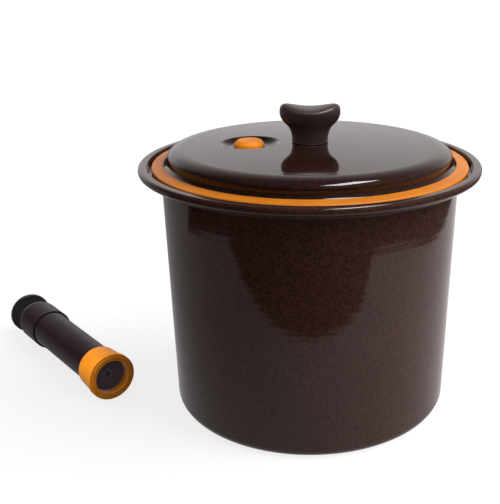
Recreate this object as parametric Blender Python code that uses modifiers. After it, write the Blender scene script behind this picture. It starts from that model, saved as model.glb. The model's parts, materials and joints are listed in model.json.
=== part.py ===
"""Enamelled cast iron storage pot with a gasketed vacuum lid, and the hand pump that empties it of air.

Metres, +Z up. The origin is the centre of the pot's flat base, and the pump lies on the same surface.
"""

import math

import bmesh
import bpy
from mathutils import Matrix, Vector

# General clearances
GAP = 0.0003
OVERRUN = 0.002

# Pot: a round cast vessel with a seat for the lid and a rounded rim
POT_TOP_R = 0.131
POT_DRAFT = 0.0025
POT_FOOT_R = POT_TOP_R - POT_DRAFT
POT_WALL = 0.0035
POT_FLOOR = 0.0045
POT_FOOT_ROUND = 0.010
POT_INNER_ROUND = 0.007
LEDGE_Z = 0.2218
LEDGE_THICK = 0.0036
LEDGE_ROUND = 0.0012
NECK_FILLET = 0.005
SEAT_REACH = 0.0105
SEAT_R = POT_TOP_R + SEAT_REACH
SEAT_ROUND = 0.001
SEAT_LEAN = 0.0014
RIM_INNER_R = SEAT_R + SEAT_LEAN
RIM_WIDTH = 0.0074
RIM_R = RIM_INNER_R + RIM_WIDTH
RIM_THICK = 0.0052
RIM_RISE = 0.0066
RIM_Z = LEDGE_Z + RIM_RISE
RIM_LIP_ROUND = 0.0008

# Lid: a shallow dome, a short skirt and a flange that carries the gasket, which fits inside the pot's seat
SEAT_CLEARANCE = 0.0027
GASKET_WALL = 0.003
FLANGE_REACH = 0.0113
FLANGE_R = SEAT_R - SEAT_CLEARANCE - GASKET_WALL
FLANGE_THICK = 0.003
LID_WALL = 0.0032
LID_RISE = 0.0199
LID_EDGE_R = FLANGE_R - FLANGE_REACH
LID_EDGE_WIDTH = 0.0165
LID_EDGE_HEIGHT = 0.0065
DOME_R = LID_EDGE_R - LID_EDGE_WIDTH
DOME_SAG = 0.0022
LID_EDGE_RISE = LID_RISE - DOME_SAG - LID_EDGE_HEIGHT
SKIRT_DRAFT = 0.0006
SKIRT_FILLET = 0.0042

# Gasket: a silicone ring of U section pushed over the flange
GASKET_LAP = 0.0102
GASKET_INNER_R = FLANGE_R - GASKET_LAP
GASKET_HEEL_LAP = 0.0077
GASKET_HEEL_R = FLANGE_R - GASKET_HEEL_LAP
GASKET_HEEL = 0.0007
GASKET_R = FLANGE_R + GASKET_WALL
GASKET_BASE = 0.0019
GASKET_LIP = 0.0008
GASKET_FALL = 0.0008
GASKET_ROUND = 0.0014

# Knob: a saddle-shaped grip on a round neck, held by one screw from below
KNOB_NECK_R = 0.0158
KNOB_SPREAD = 0.0107
KNOB_SWELL = 0.0022
KNOB_HALF_WIDTH = KNOB_NECK_R + KNOB_SPREAD
KNOB_HALF_DEPTH = KNOB_NECK_R + KNOB_SWELL
KNOB_WIDEST = 0.025
KNOB_CROWN = 0.0045
KNOB_DIP = KNOB_WIDEST + KNOB_CROWN
KNOB_LOBE_INSET = 0.0061
KNOB_LOBE_X = KNOB_HALF_WIDTH - KNOB_LOBE_INSET
KNOB_LOBE_RISE = 0.0048
KNOB_CROWN_POWER = 3
KNOB_HEIGHT_SHARES = (0, 0.10, 0.24, 0.37, 0.47, 0.55, 0.62, 0.69, 0.76, 0.86, 1)
KNOB_FLARE_SHARES = (0.02, 0, 0.03, 0.11, 0.21, 0.34, 0.50, 0.67, 0.80, 0.92, 1)
KNOB_CROWN_SHARES = (0.98, 0.93, 0.85, 0.72, 0.50, 0.25)
KNOB_BORE_DEPTH = 0.0143
SCREW_R = 0.0025
SCREW_HOLE_SLACK = 0.0009
SCREW_HOLE_R = SCREW_R + SCREW_HOLE_SLACK
SCREW_HEAD_LAP = 0.0014
SCREW_HEAD_R = SCREW_HOLE_R + SCREW_HEAD_LAP
SCREW_HEAD = 0.0032
SCREW_CROWN_SHARE = 0.35
SCREW_HEX_INSET = 0.0003
SCREW_HEX_R = SCREW_R - SCREW_HEX_INSET
SCREW_HEX_DEPTH = 0.0018
WASHER_LAP = 0.0027
WASHER_R = SCREW_HEAD_R + WASHER_LAP
WASHER_THICK = 0.001
KNOB_SEAL_LAP = 0.0005
KNOB_SEAL_R = WASHER_R + KNOB_SEAL_LAP
KNOB_SEAL_THICK = 0.0012

# Valve: a button with a stem in a dished seat, left of the knob
VALVE_X = -0.0535
VALVE_STEM_R = 0.003
VALVE_HOLE_SLACK = 0.0012
VALVE_HOLE_R = VALVE_STEM_R + VALVE_HOLE_SLACK
VALVE_GROOVE = 0.0007
VALVE_GROOVE_R = VALVE_STEM_R - VALVE_GROOVE
VALVE_SEAL_LAP = 0.0054
VALVE_SEAL_R = VALVE_HOLE_R + VALVE_SEAL_LAP
VALVE_SEAL_THICK = 0.0012
VALVE_SEAL_SLACK = 0.0006
BUTTON_RECESS_R = VALVE_SEAL_R + VALVE_SEAL_SLACK
BUTTON_WALL = 0.0031
BUTTON_R = BUTTON_RECESS_R + BUTTON_WALL
BUTTON_CHAMFER = 0.0029
BUTTON_TOP_R = BUTTON_R - BUTTON_CHAMFER
BUTTON_HEIGHT = 0.0065
BUTTON_SKIRT = 0.0034
RETAINER_LAP = 0.0032
RETAINER_R = VALVE_HOLE_R + RETAINER_LAP
RETAINER_THICK = 0.0016
VALVE_LIFT = 0.003
DISH_MARGIN = 0.0082
DISH_FLOOR_R = BUTTON_R + DISH_MARGIN
LANDING_MARGIN = 0.0008
LANDING_R = BUTTON_R + LANDING_MARGIN
LANDING_RISE = 0.0003
DISH_SLOPE = 0.004
DISH_R = DISH_FLOOR_R + DISH_SLOPE
DISH_DEPTH = 0.0046
DISH_WALL_SHARES = ((0.5, 0.22), (1, 0.94))
DISH_PLATE = 0.003
DISH_PAD_MARGIN = 0.0007
DISH_PAD_R = DISH_R + DISH_PAD_MARGIN
DISH_PAD_FLARE = 0.0033
DISH_PAD_TOP = 0.0016
VALVE_STEM_END = 0.001

# Pump: where its mouth lies beside the pot, and how far its axis is turned from -X towards +Y
PUMP_CLEARANCE = 0.0382
PUMP_MOUTH_X = -RIM_R - PUMP_CLEARANCE
PUMP_MOUTH_Y = -0.0275
PUMP_TURN = math.radians(50)

# Pump, along its axis from the mouth to the plunger disc
BARREL_R = 0.0188
BARREL_WALL = 0.002
BARREL_BORE_R = BARREL_R - BARREL_WALL
BARREL_LENGTH = 0.154
MOUTH_SHOULDER = 0.0022
MOUTH_BORE_R = BARREL_R - MOUTH_SHOULDER
MOUTH_RECESS = 0.009
MOUTH_WALL = 0.002
MOUTH_BACK_R = BARREL_R + MOUTH_WALL
MOUTH_FACE_R = MOUTH_BACK_R
MOUTH_LIP_REACH = 0.0024
MOUTH_LIP_R = MOUTH_BACK_R + MOUTH_LIP_REACH
MOUTH_LIP = 0.006
MOUTH_STEP = 0.0008
MOUTH_LENGTH = 0.03
MOUTH_EDGE = 0.0007
INLET_PLATE = 0.0025
INLET_HOLE_R = 0.0012
INLET_HOLE_RING_R = 0.0045
INLET_HOLES = 6
INLET_FLAP_R = 0.0075
INLET_FLAP = 0.0009
INLET_STEM_R = 0.0014
INLET_BULB_R = 0.0024
INLET_BULB = 0.0015
CAP_WALL = 0.0024
CAP_R = BARREL_R + CAP_WALL
CAP_LAP = 0.0265
CAP_SHOULDER = 0.006
CAP_DOME = 0.013
CAP_EDGE = 0.0007
CAP_STEP = 0.0013
CAP_INNER_R = BARREL_BORE_R - CAP_STEP
ROD_R = 0.0055
ROD_HOLE_SLACK = 0.0005
ROD_HOLE_R = ROD_R + ROD_HOLE_SLACK
BUSH_WALL = 0.003
BUSH_R = ROD_R + BUSH_WALL
BUSH_LENGTH = 0.0074
NOSE_WALL = 0.001
NOSE_R = BUSH_R + NOSE_WALL
NOSE_LIP = 0.002
HANDLE_GAP = 0.0105
DISC_PROUD = 0.0003
DISC_R = CAP_R + DISC_PROUD
DISC_THICK = 0.006
DISC_EDGE = 0.001
DISC_DISH = 0.0012
HUB_WALL = 0.0025
HUB_R = ROD_R + HUB_WALL
HUB_LENGTH = 0.0025
DISC_BORE_DEPTH = 0.004
PISTON_REST = 0.0025
PISTON_SLACK = 0.0004
PISTON_LENGTH = 0.012
PISTON_GROOVE = 0.0032
PISTON_GROOVE_R = BARREL_BORE_R - PISTON_GROOVE
PISTON_SEAL_WIDTH = 0.0028
ROD_SOCKET = 0.004
PISTON_SCREW_R = 0.002
PISTON_SCREW_HEAD_R = 0.0042
PISTON_SCREW_HEAD = 0.0029
PISTON_SCREW_LENGTH = 0.0135

# Facets round a turned piece
STEPS_WIDE = 48
STEPS_SMALL = 32
STEPS_TINY = 16

# Heights of the lid's seats, worked out upwards from the pot's ledge
GASKET_Z = LEDGE_Z + GAP
FLANGE_Z = GASKET_Z + GASKET_BASE + GAP
FLANGE_TOP_Z = FLANGE_Z + FLANGE_THICK
LID_CROWN_Z = FLANGE_Z + LID_RISE
LID_EDGE_Z = FLANGE_Z + LID_EDGE_RISE

# Stations along the pump's axis, worked out from the mouth
PLATE_S = MOUTH_RECESS + GAP
PLATE_END = PLATE_S + INLET_PLATE
BARREL_S = PLATE_END + GAP
BARREL_END = BARREL_S + BARREL_LENGTH
CAP_S = BARREL_END - CAP_LAP
CAP_SHOULDER_S = BARREL_END + GAP
CAP_DOME_S = CAP_SHOULDER_S + CAP_SHOULDER
BUSH_S = CAP_DOME_S + CAP_DOME - NOSE_LIP - GAP - BUSH_LENGTH
NOSE_END = CAP_DOME_S + CAP_DOME
DISC_S = NOSE_END + HANDLE_GAP
DISC_END = DISC_S + DISC_THICK
PISTON_S = BARREL_S + INLET_FLAP + PISTON_REST
PISTON_END = PISTON_S + PISTON_LENGTH
ROD_S = PISTON_END - ROD_SOCKET + GAP
ROD_END = DISC_S + DISC_BORE_DEPTH - GAP

BROWN_ENAMEL = ("brown_enamel", (0.045, 0.022, 0.018), 0.18, 0.0)
ORANGE_SILICONE = ("orange_silicone", (0.80, 0.27, 0.03), 0.42, 0.0)
ORANGE_BUTTON = ("orange_button", (0.86, 0.28, 0.02), 0.35, 0.0)
BROWN_GRIP = ("brown_grip", (0.032, 0.020, 0.019), 0.45, 0.0)
PUMP_BROWN = ("pump_brown", (0.024, 0.014, 0.018), 0.38, 0.0)
PUMP_BLACK = ("pump_black", (0.010, 0.009, 0.010), 0.35, 0.0)
DARK_RUBBER = ("dark_rubber", (0.020, 0.020, 0.022), 0.60, 0.0)
CLEAR_SILICONE = ("pale_silicone", (0.55, 0.53, 0.50), 0.45, 0.0)
STEEL = ("stainless_steel", (0.55, 0.55, 0.56), 0.30, 1.0)


def clear_scene():
    for obj in list(bpy.data.objects):
        bpy.data.objects.remove(obj)


def new_collection(name):
    collection = bpy.data.collections.new(name)
    bpy.context.scene.collection.children.link(collection)
    return collection


def material(look):
    name, colour, roughness, metallic = look
    found = bpy.data.materials.get(name)
    if found:
        return found
    made = bpy.data.materials.new(name)
    made.use_nodes = True
    made.diffuse_color = (*colour, 1)
    shader = made.node_tree.nodes["Principled BSDF"]
    shader.inputs["Base Color"].default_value = (*colour, 1)
    shader.inputs["Roughness"].default_value = roughness
    shader.inputs["Metallic"].default_value = metallic
    return made


def arc(centre, radius, start, end, points=4, squash=1.0):
    """Points on an arc in the profile plane, angles in degrees from +r towards +z. squash scales its height."""
    made = []
    for i in range(points + 1):
        angle = math.radians(start + (end - start) * i / points)
        made.append((centre[0] + radius * math.cos(angle), centre[1] + radius * squash * math.sin(angle)))
    return made


def turned(name, profile, look, steps, collection, closed=True):
    """A solid of revolution. The profile's (r, z) points run down its outer side, and an open one ends on the axis."""
    mesh = bpy.data.meshes.new(name)
    edges = [(i, i + 1) for i in range(len(profile) - 1)]
    if closed:
        edges.append((len(profile) - 1, 0))
    mesh.from_pydata([(r, 0, z) for r, z in profile], edges, [])
    obj = bpy.data.objects.new(name, mesh)
    collection.objects.link(obj)
    screw = obj.modifiers.new("Turn", "SCREW")
    screw.axis = "Z"
    screw.steps = screw.render_steps = steps
    screw.use_merge_vertices = True
    screw.merge_threshold = GAP / 30
    screw.use_smooth_shade = True
    if look:
        mesh.materials.append(material(look))
    return obj


def shade(obj):
    """Keeps flat faces flat beside the round ones, once the shape is whole."""
    obj.modifiers.new("Shading", "WEIGHTED_NORMAL")
    return obj


def cutter(obj):
    obj.hide_render = True
    obj.display_type = "WIRE"
    return obj


def boolean(obj, tool, operation="DIFFERENCE"):
    modifier = obj.modifiers.new(f"{operation.title()} {tool.name}", "BOOLEAN")
    modifier.operation = operation
    modifier.solver = "EXACT"
    modifier.object = tool


def peg(name, radius, low, high, sides, helpers, place=(0, 0)):
    """A round or many-sided cutter standing along +Z."""
    mesh = bpy.data.meshes.new(name)
    shape = bmesh.new()
    bmesh.ops.create_cone(
        shape, cap_ends=True, segments=sides, radius1=radius, radius2=radius, depth=high - low,
        matrix=Matrix.Translation((place[0], place[1], (low + high) / 2)),
    )
    shape.to_mesh(mesh)
    shape.free()
    obj = bpy.data.objects.new(name, mesh)
    helpers.objects.link(obj)
    return cutter(obj)


def washer_profile(inner, outer, low, high):
    return [(inner, high), (outer, high), (outer, low), (inner, low)]


def screw_profile(shank, head, head_end, seat, tip):
    """A screw on its axis: the head between head_end and seat, and the shank from there to the tip."""
    crown = (seat - head_end) * SCREW_CROWN_SHARE
    points = [(0, tip), (shank, tip), (shank, seat), (head, seat)]
    points += [(head, head_end + crown), (head - abs(crown), head_end), (0, head_end)]
    return points


def dome_z(radius):
    return LID_CROWN_Z - DOME_SAG * (radius / DOME_R) ** 2


def pot_body(parts):
    inner_foot_r = POT_FOOT_R - POT_WALL
    inner_top_r = POT_TOP_R - POT_WALL
    rim_round = RIM_THICK / 2
    neck_z = LEDGE_Z - LEDGE_THICK
    profile = [(0, POT_FLOOR)]
    profile += arc((inner_foot_r - POT_INNER_ROUND, POT_FLOOR + POT_INNER_ROUND), POT_INNER_ROUND, -90, 0, 3)
    profile += arc((inner_top_r + LEDGE_ROUND, LEDGE_Z - LEDGE_ROUND), LEDGE_ROUND, 180, 90, 2)
    profile += arc((SEAT_R - SEAT_ROUND, LEDGE_Z + SEAT_ROUND), SEAT_ROUND, -90, 0, 1)
    profile += arc((RIM_INNER_R + RIM_LIP_ROUND, RIM_Z - RIM_LIP_ROUND), RIM_LIP_ROUND, 180, 90, 1)
    profile += arc((RIM_R - rim_round, RIM_Z - rim_round), rim_round, 90, -90)
    profile += [(RIM_INNER_R, neck_z)]
    profile += arc((POT_TOP_R + NECK_FILLET, neck_z - NECK_FILLET), NECK_FILLET, 90, 180, 3)
    profile += arc((POT_FOOT_R - POT_FOOT_ROUND, POT_FOOT_ROUND), POT_FOOT_ROUND, 0, -90, 5)
    profile += [(0, 0)]
    return shade(turned("pot_body", profile, BROWN_ENAMEL, STEPS_WIDE, parts, closed=False))


def lid_profile():
    skirt_foot_r = LID_EDGE_R - SKIRT_DRAFT
    edge_height = dome_z(DOME_R) - LID_EDGE_Z
    inner_edge_r = LID_EDGE_R - LID_WALL
    inner_squash = (edge_height - LID_WALL) / (inner_edge_r - DOME_R)
    dome = [SCREW_HOLE_R + (DOME_R - SCREW_HOLE_R) * i / 6 for i in range(6)]
    profile = [(r, dome_z(r)) for r in dome]
    profile += arc((DOME_R, LID_EDGE_Z), LID_EDGE_R - DOME_R, 90, 0, 6, edge_height / (LID_EDGE_R - DOME_R))
    profile += arc((skirt_foot_r + SKIRT_FILLET, FLANGE_TOP_Z + SKIRT_FILLET), SKIRT_FILLET, 180, 270, 3)
    profile += [(FLANGE_R, FLANGE_TOP_Z), (FLANGE_R, FLANGE_Z), (skirt_foot_r - LID_WALL, FLANGE_Z)]
    profile += arc((DOME_R, LID_EDGE_Z), inner_edge_r - DOME_R, 0, 90, 3, inner_squash)
    profile += [(r, dome_z(r) - LID_WALL) for r in reversed(dome)]
    return profile


def lid_shell(parts, helpers):
    """The domed lid: a thicker pad beneath it takes the dished seat, with a flat landing round the valve."""
    lid = turned("lid_shell", lid_profile(), BROWN_ENAMEL, STEPS_WIDE, parts)
    floor_z = dish_floor_z()
    pad_top = dome_z(-VALVE_X) - DISH_PAD_TOP
    pad_z = floor_z - DISH_PLATE
    pad = [(0, pad_top), (DISH_PAD_R + DISH_PAD_FLARE, pad_top), (DISH_PAD_R, pad_z), (0, pad_z)]
    dish_top = LID_CROWN_Z + OVERRUN
    dish = [(0, dish_top), (DISH_R, dish_top)]
    for out, up in reversed(DISH_WALL_SHARES):
        dish.append((DISH_FLOOR_R + (DISH_R - DISH_FLOOR_R) * out, floor_z + DISH_DEPTH * up))
    dish += [(DISH_FLOOR_R, floor_z + LANDING_RISE), (LANDING_R, floor_z + LANDING_RISE)]
    dish += [(LANDING_R, floor_z), (0, floor_z)]
    for name, shape, operation in (("lid_pad", pad, "UNION"), ("lid_dish", dish, "DIFFERENCE")):
        tool = cutter(turned(name, shape, None, STEPS_SMALL, helpers, closed=False))
        tool.location.x = VALVE_X
        boolean(lid, tool, operation)
    hole = peg("lid_valve_hole", VALVE_HOLE_R, pad_z - OVERRUN, floor_z + OVERRUN, STEPS_TINY, helpers, (VALVE_X, 0))
    boolean(lid, hole)
    return shade(lid)


def dish_floor_z():
    return dome_z(-VALVE_X) - DISH_DEPTH


def lid_gasket(parts):
    groove_top = FLANGE_TOP_Z + GAP
    groove_r = FLANGE_R + GAP
    crown = groove_top + GASKET_LIP
    edge_z = crown - GASKET_FALL - GASKET_ROUND
    profile = [(GASKET_HEEL_R, crown + GASKET_HEEL)]
    profile += arc((GASKET_R - GASKET_ROUND, edge_z), GASKET_ROUND, 90, 0, 3)
    profile += [(GASKET_R, GASKET_Z + GASKET_ROUND), (GASKET_R - GASKET_ROUND, GASKET_Z)]
    profile += [(GASKET_INNER_R, GASKET_Z), (GASKET_INNER_R, FLANGE_Z - GAP), (groove_r, FLANGE_Z - GAP)]
    profile += [(groove_r, groove_top), (GASKET_HEEL_R, groove_top)]
    return shade(turned("lid_gasket", profile, ORANGE_SILICONE, STEPS_WIDE, parts))


def knob_rings():
    """Rings of points from the knob's foot up its flaring neck, then inwards over the saddle."""
    foot_z = LID_CROWN_Z + GAP
    widest_z = foot_z + KNOB_WIDEST
    rings = []
    for height, flare in zip(KNOB_HEIGHT_SHARES, KNOB_FLARE_SHARES):
        half_width = KNOB_NECK_R + (KNOB_HALF_WIDTH - KNOB_NECK_R) * flare
        half_depth = KNOB_NECK_R + (KNOB_HALF_DEPTH - KNOB_NECK_R) * flare
        rings.append([(x, y, foot_z + KNOB_WIDEST * height) for x, y in oval(half_width, half_depth)])
    for inward in KNOB_CROWN_SHARES:
        lift = (1 - inward**KNOB_CROWN_POWER) ** (1 / KNOB_CROWN_POWER)
        ring = []
        for x, y in oval(KNOB_HALF_WIDTH * inward, KNOB_HALF_DEPTH * inward):
            saddle = KNOB_DIP - KNOB_WIDEST + KNOB_LOBE_RISE * (x / KNOB_LOBE_X) ** 2
            ring.append((x, y, widest_z + saddle * lift))
        rings.append(ring)
    return rings, (0, 0, foot_z + KNOB_DIP)


def oval(half_width, half_depth):
    turns = [2 * math.pi * i / STEPS_SMALL for i in range(STEPS_SMALL)]
    return [(half_width * math.cos(a), half_depth * math.sin(a)) for a in turns]


def knob_grip(parts, helpers):
    """The saddle grip, lofted from a round neck to a wide oval top that dips along X."""
    rings, top = knob_rings()
    shape = bmesh.new()
    rows = [[shape.verts.new(point) for point in ring] for ring in rings]
    shape.faces.new(list(reversed(rows[0])))
    for low, high in zip(rows, rows[1:]):
        for i in range(STEPS_SMALL):
            j = (i + 1) % STEPS_SMALL
            shape.faces.new((low[i], low[j], high[j], high[i]))
    apex = shape.verts.new(top)
    for i in range(STEPS_SMALL):
        shape.faces.new((rows[-1][i], rows[-1][(i + 1) % STEPS_SMALL], apex))
    mesh = bpy.data.meshes.new("knob_grip")
    shape.to_mesh(mesh)
    shape.free()
    mesh.shade_smooth()
    mesh.materials.append(material(BROWN_GRIP))
    grip = bpy.data.objects.new("knob_grip", mesh)
    parts.objects.link(grip)
    foot_z = LID_CROWN_Z + GAP
    bore = peg("knob_bore", SCREW_R + GAP, foot_z - OVERRUN, foot_z + KNOB_BORE_DEPTH, STEPS_TINY, helpers)
    boolean(grip, bore)
    return shade(grip)


def knob_fastening(parts, helpers):
    """Under the lid: a seal, a washer and the screw that goes up into the knob."""
    seal_top = dome_z(KNOB_SEAL_R) - LID_WALL - GAP
    washer_top = seal_top - KNOB_SEAL_THICK - GAP
    head_top = washer_top - WASHER_THICK - GAP
    bore_r = SCREW_R + GAP
    seal = washer_profile(bore_r, KNOB_SEAL_R, seal_top - KNOB_SEAL_THICK, seal_top)
    washer = washer_profile(bore_r, WASHER_R, washer_top - WASHER_THICK, washer_top)
    shade(turned("knob_seal", seal, CLEAR_SILICONE, STEPS_TINY, parts))
    shade(turned("knob_washer", washer, STEEL, STEPS_TINY, parts))
    tip = LID_CROWN_Z + KNOB_BORE_DEPTH
    head_end = head_top - SCREW_HEAD
    profile = screw_profile(SCREW_R, SCREW_HEAD_R, head_end, head_top, tip)
    screw = turned("knob_screw", profile, STEEL, STEPS_TINY, parts, closed=False)
    boolean(screw, peg("knob_hex", SCREW_HEX_R, head_end - OVERRUN, head_end + SCREW_HEX_DEPTH, 6, helpers))
    shade(screw)


def valve(parts):
    """The button lifts off its dished seat, with a seal under it and a retainer on its stem below the lid."""
    floor_z = dish_floor_z()
    base_z = floor_z + GAP
    top_z = base_z + BUTTON_HEIGHT
    recess_z = base_z + VALVE_SEAL_THICK + GAP
    retainer_top = floor_z - DISH_PLATE - VALVE_LIFT - GAP
    retainer_z = retainer_top - RETAINER_THICK
    stem_end = retainer_z - GAP - VALVE_STEM_END
    profile = [(0, top_z), (BUTTON_TOP_R, top_z), (BUTTON_R, base_z + BUTTON_SKIRT), (BUTTON_R, base_z)]
    profile += [(BUTTON_RECESS_R, base_z), (BUTTON_RECESS_R, recess_z), (VALVE_STEM_R, recess_z)]
    profile += [(VALVE_STEM_R, retainer_top + GAP), (VALVE_GROOVE_R, retainer_top + GAP)]
    profile += [(VALVE_GROOVE_R, retainer_z - GAP), (VALVE_STEM_R, retainer_z - GAP)]
    profile += [(VALVE_STEM_R, stem_end), (0, stem_end)]
    seal = washer_profile(VALVE_STEM_R + GAP, VALVE_SEAL_R, base_z, base_z + VALVE_SEAL_THICK)
    retainer = washer_profile(VALVE_GROOVE_R + GAP, RETAINER_R, retainer_z, retainer_top)
    pieces = [
        turned("valve_button", profile, ORANGE_BUTTON, STEPS_SMALL, parts, closed=False),
        turned("valve_seal", seal, CLEAR_SILICONE, STEPS_TINY, parts),
        turned("valve_retainer", retainer, CLEAR_SILICONE, STEPS_TINY, parts),
    ]
    for piece in pieces:
        piece.location.x = VALVE_X
        shade(piece)


def pump_place():
    """The matrix that lays the pump down: its +Z becomes the axis from mouth to disc, and lip and disc touch z = 0."""
    lip_s, disc_s = MOUTH_LIP, DISC_END - DISC_EDGE
    tilt = math.atan2(MOUTH_LIP_R - DISC_R, disc_s - lip_s)
    height = MOUTH_LIP_R * math.cos(tilt) + lip_s * math.sin(tilt)
    along = Vector((-math.cos(PUMP_TURN), math.sin(PUMP_TURN), -math.tan(tilt))).normalized()
    side = Vector((-along.y, along.x, 0)).normalized()
    down = side.cross(along)
    turn = Matrix((down, side, along)).transposed().to_4x4()
    return Matrix.Translation((PUMP_MOUTH_X, PUMP_MOUTH_Y, height)) @ turn


def mouth_ring_profile():
    neck_r = MOUTH_LIP_R - MOUTH_STEP
    socket_r = BARREL_R + GAP
    back = MOUTH_LENGTH
    profile = [(socket_r, back), (MOUTH_BACK_R - MOUTH_EDGE, back), (MOUTH_BACK_R, back - MOUTH_EDGE)]
    profile += [(neck_r, MOUTH_LIP + MOUTH_STEP), (MOUTH_LIP_R, MOUTH_LIP), (MOUTH_LIP_R, MOUTH_STEP + MOUTH_EDGE)]
    profile += [(MOUTH_LIP_R - MOUTH_EDGE, MOUTH_STEP), (MOUTH_FACE_R + MOUTH_EDGE, MOUTH_STEP)]
    profile += [(MOUTH_FACE_R, 0), (MOUTH_BORE_R + MOUTH_EDGE, 0), (MOUTH_BORE_R, MOUTH_EDGE)]
    profile += [(MOUTH_BORE_R, MOUTH_RECESS), (socket_r, MOUTH_RECESS)]
    return profile


def cap_profile():
    socket_r = BARREL_R + GAP
    bush_r = BUSH_R + GAP
    dome_r = CAP_R - NOSE_R
    profile = [(ROD_HOLE_R, NOSE_END)]
    profile += arc((NOSE_R, CAP_DOME_S), dome_r, 90, 0, 6, CAP_DOME / dome_r)
    profile += [(CAP_R, CAP_S + CAP_EDGE), (CAP_R - CAP_EDGE, CAP_S), (socket_r, CAP_S)]
    profile += [(socket_r, CAP_SHOULDER_S), (CAP_INNER_R, CAP_SHOULDER_S), (CAP_INNER_R, CAP_DOME_S)]
    profile += [(bush_r, BUSH_S - GAP), (bush_r, NOSE_END - NOSE_LIP), (ROD_HOLE_R, NOSE_END - NOSE_LIP)]
    return profile


def inlet_plate(parts, helpers):
    """The plate behind the mouth, with a ring of air holes round the check valve's stem."""
    stem_hole = washer_profile(INLET_STEM_R + GAP, BARREL_R, PLATE_S, PLATE_END)
    plate = turned("inlet_plate", stem_hole, PUMP_BLACK, STEPS_SMALL, parts)
    tools = []
    for i in range(INLET_HOLES):
        angle = 2 * math.pi * i / INLET_HOLES
        place = (INLET_HOLE_RING_R * math.cos(angle), INLET_HOLE_RING_R * math.sin(angle))
        span = (PLATE_S - OVERRUN, PLATE_END + OVERRUN)
        tool = peg(f"inlet_hole_{i + 1}", INLET_HOLE_R, *span, STEPS_TINY // 2, helpers, place)
        boolean(plate, tool)
        tools.append(tool)
    return [shade(plate), *tools]


def inlet_valve_profile():
    flap_s = PLATE_END + GAP
    bulb_end = PLATE_S - GAP
    profile = [(0, flap_s + INLET_FLAP), (INLET_STEM_R, flap_s + INLET_FLAP), (INLET_FLAP_R, flap_s + INLET_FLAP / 2)]
    profile += [(INLET_FLAP_R, flap_s), (INLET_STEM_R, flap_s), (INLET_STEM_R, bulb_end), (INLET_BULB_R, bulb_end)]
    profile += [(INLET_STEM_R, bulb_end - INLET_BULB), (0, bulb_end - INLET_BULB)]
    return profile


def disc_profile():
    """The plunger's push disc: a dished face, a rounded edge and a hub round the rod's end."""
    bore_r = ROD_R + GAP
    profile = [(0, DISC_END - DISC_DISH), (HUB_R, DISC_END - DISC_DISH), (DISC_R - DISC_EDGE, DISC_END)]
    profile += [(DISC_R, DISC_END - DISC_EDGE), (DISC_R, DISC_S + DISC_EDGE + DISC_DISH)]
    profile += [(DISC_R - DISC_EDGE, DISC_S + DISC_DISH), (HUB_R, DISC_S), (HUB_R, DISC_S - HUB_LENGTH)]
    profile += [(bore_r, DISC_S - HUB_LENGTH), (bore_r, DISC_S + DISC_BORE_DEPTH), (0, DISC_S + DISC_BORE_DEPTH)]
    return profile


def rod_profile():
    bore_r = PISTON_SCREW_R + GAP
    bore_end = ROD_S + PISTON_SCREW_LENGTH
    return [(0, ROD_END), (ROD_R, ROD_END), (ROD_R, ROD_S), (bore_r, ROD_S), (bore_r, bore_end), (0, bore_end)]


def piston_profile():
    piston_r = BARREL_BORE_R - PISTON_SLACK
    middle = (PISTON_S + PISTON_END) / 2
    groove = PISTON_SEAL_WIDTH / 2 + GAP
    head_r = PISTON_SCREW_HEAD_R + GAP
    head_s = PISTON_S + PISTON_SCREW_HEAD + 2 * GAP
    profile = [(ROD_R + GAP, PISTON_END), (piston_r, PISTON_END), (piston_r, middle + groove)]
    profile += [(PISTON_GROOVE_R, middle + groove), (PISTON_GROOVE_R, middle - groove)]
    profile += [(piston_r, middle - groove), (piston_r, PISTON_S), (head_r, PISTON_S), (head_r, head_s)]
    profile += [(PISTON_SCREW_R + GAP, head_s), (PISTON_SCREW_R + GAP, PISTON_END - ROD_SOCKET)]
    profile += [(ROD_R + GAP, PISTON_END - ROD_SOCKET)]
    return profile


def piston_seal_profile():
    middle = (PISTON_S + PISTON_END) / 2
    half = PISTON_SEAL_WIDTH / 2
    return washer_profile(PISTON_GROOVE_R + GAP, BARREL_BORE_R - GAP, middle - half, middle + half)


def piston_screw_profile():
    head_end = PISTON_S + GAP
    seat = head_end + PISTON_SCREW_HEAD
    tip = ROD_S + PISTON_SCREW_LENGTH - GAP
    return screw_profile(PISTON_SCREW_R, PISTON_SCREW_HEAD_R, head_end, seat, tip)


def pump(parts, helpers):
    """The hand pump, built upright and then laid down: barrel, cap and mouth stand still, and the plunger slides."""
    axis = bpy.data.objects.new("pump_axis", None)
    parts.objects.link(axis)
    barrel = washer_profile(BARREL_BORE_R, BARREL_R, BARREL_S, BARREL_END)
    bush = washer_profile(ROD_R + GAP, BUSH_R, BUSH_S, BUSH_S + BUSH_LENGTH)
    solids = (
        ("pump_barrel", barrel, PUMP_BROWN, STEPS_SMALL, True),
        ("pump_cap", cap_profile(), PUMP_BROWN, STEPS_SMALL, True),
        ("pump_mouth_ring", mouth_ring_profile(), ORANGE_SILICONE, STEPS_SMALL, True),
        ("rod_bush", bush, PUMP_BLACK, STEPS_SMALL, True),
        ("inlet_valve", inlet_valve_profile(), DARK_RUBBER, STEPS_TINY, False),
        ("plunger_disc", disc_profile(), PUMP_BLACK, STEPS_SMALL, False),
        ("plunger_rod", rod_profile(), PUMP_BLACK, STEPS_SMALL, False),
        ("piston", piston_profile(), PUMP_BLACK, STEPS_SMALL, True),
        ("piston_seal", piston_seal_profile(), DARK_RUBBER, STEPS_SMALL, True),
        ("piston_screw", piston_screw_profile(), STEEL, STEPS_TINY, False),
    )
    pieces = [shade(turned(name, shape, look, steps, parts, closed)) for name, shape, look, steps, closed in solids]
    pieces += inlet_plate(parts, helpers)
    for piece in pieces:
        piece.parent = axis
    axis.matrix_world = pump_place()


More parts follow.
